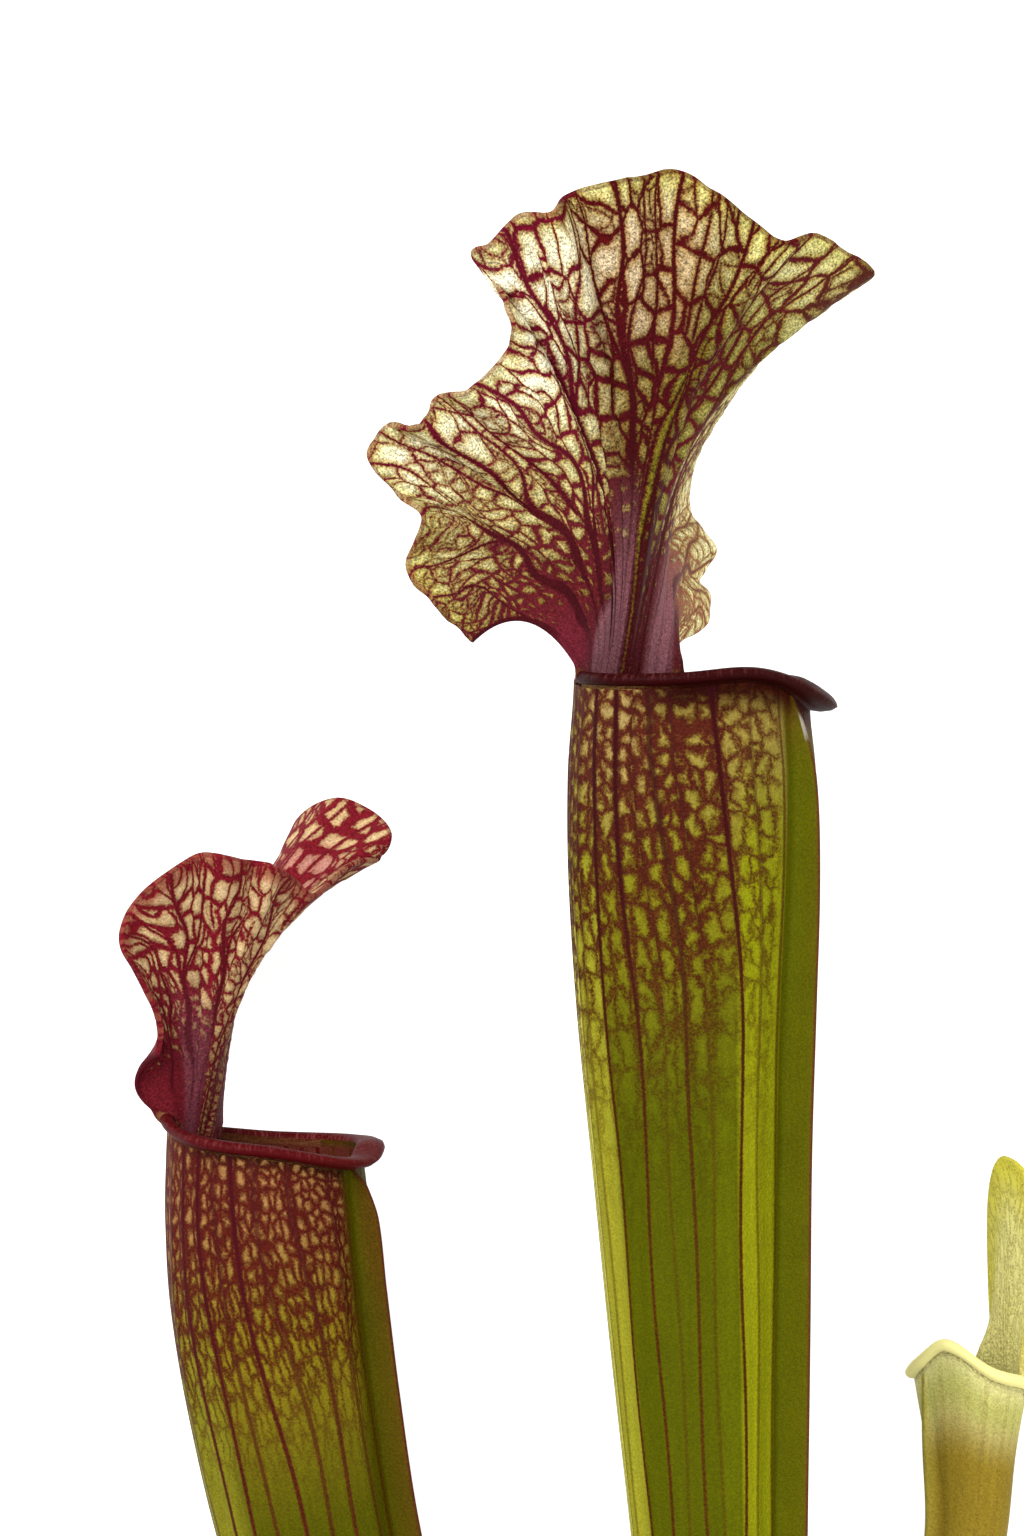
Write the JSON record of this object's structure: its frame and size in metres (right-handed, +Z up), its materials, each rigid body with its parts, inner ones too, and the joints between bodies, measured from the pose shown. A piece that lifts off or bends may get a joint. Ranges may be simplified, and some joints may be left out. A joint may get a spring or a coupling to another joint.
{
  "type": "pitcher plant",
  "caption": "Bare-rooted trumpet pitcher plant lying on its side, hollow tapering pitchers with rolled lips and ruffled, net-veined hoods on a ringed rhizome with roots.",
  "frame": {"origin": "flat resting spot under the rhizome, at the crown that the pitchers grow from", "axes": "+Y from the roots to the hoods, +Z up from the surface that the plant lies on, +X to the right of the picture"},
  "size_m": [0.1606, 0.4183, 0.0658],
  "materials": {
    "tall_leaf": "satin olive leaf with a net of maroon veins",
    "left_leaf": "satin red-brown leaf with a net of red veins",
    "right_leaf": "satin yellow-green leaf",
    "rhizome": "rough brown stock and roots"
  },
  "bodies": {
    "root": {"pitcher_tall": "tall_leaf", "pitcher_left": "left_leaf", "pitcher_right": "right_leaf", "rhizome_with_roots": "rhizome"}
  },
  "joints": []
}
